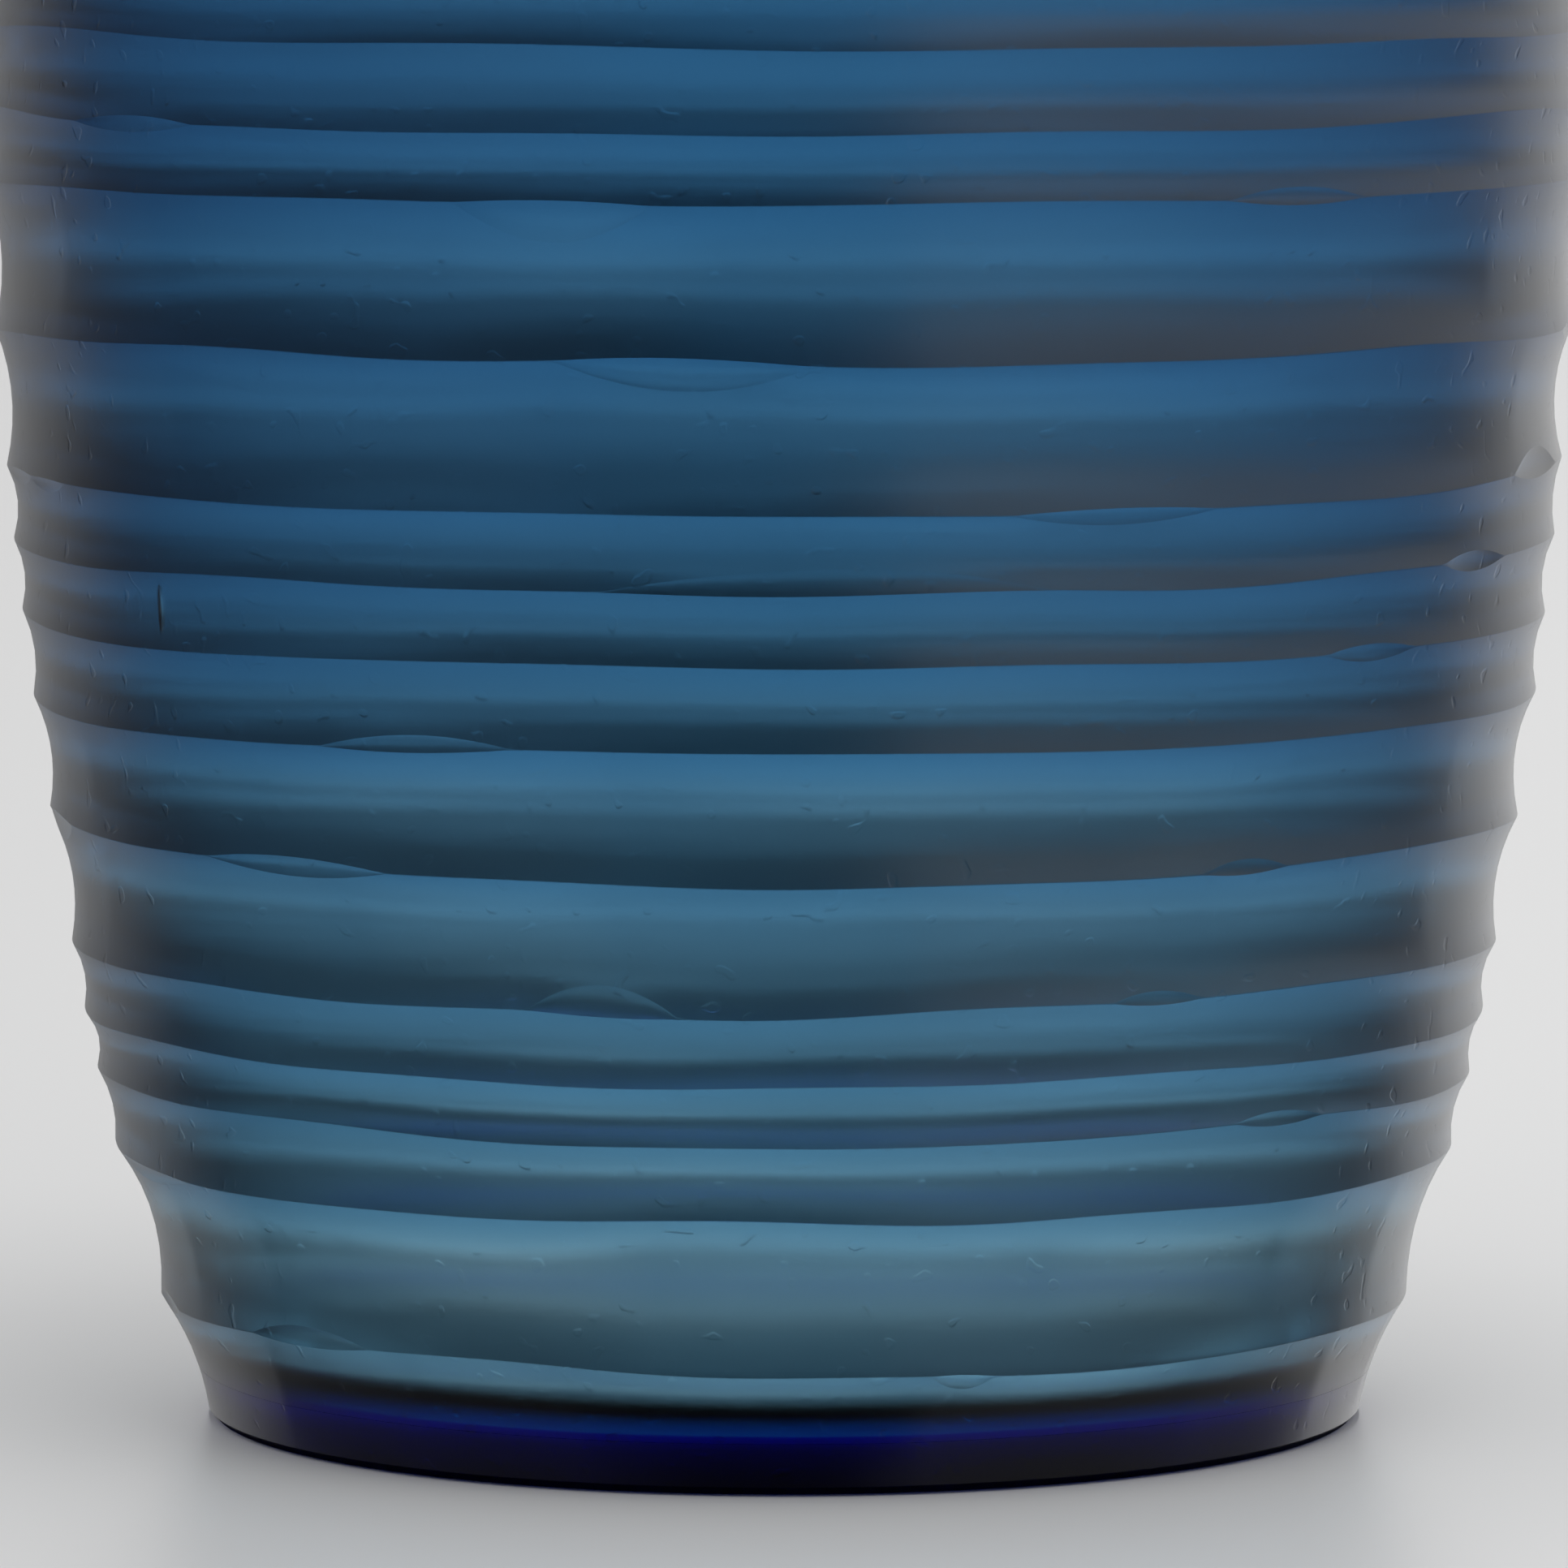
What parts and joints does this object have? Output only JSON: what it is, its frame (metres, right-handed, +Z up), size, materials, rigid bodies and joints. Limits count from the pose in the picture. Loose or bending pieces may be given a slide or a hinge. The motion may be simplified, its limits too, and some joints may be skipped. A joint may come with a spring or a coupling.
{
  "type": "bud vase",
  "caption": "Broad-shouldered bud vase of blue cased glass, hollow-cut all round in horizontal bands, with a thick solid base, a short narrow neck and a flared mouth.",
  "frame": {"origin": "centre of the flat ground foot, on the surface that the vase stands on", "axes": "+Z up along the vase's turning axis, from the foot to the mouth; the cuts run all round, so X and Y are any two horizontal directions"},
  "size_m": [0.15, 0.15, 0.226],
  "materials": {
    "casing_glass": "steel-blue glass, wheel-cut and left satin from the wheel",
    "lining_glass": "blue glass, fire-polished on the inside",
    "base_glass": "deep cobalt glass, ground flat underneath"
  },
  "bodies": {
    "root": {"outer_casing": "casing_glass", "inner_lining": "lining_glass", "solid_base": "base_glass"}
  },
  "joints": []
}
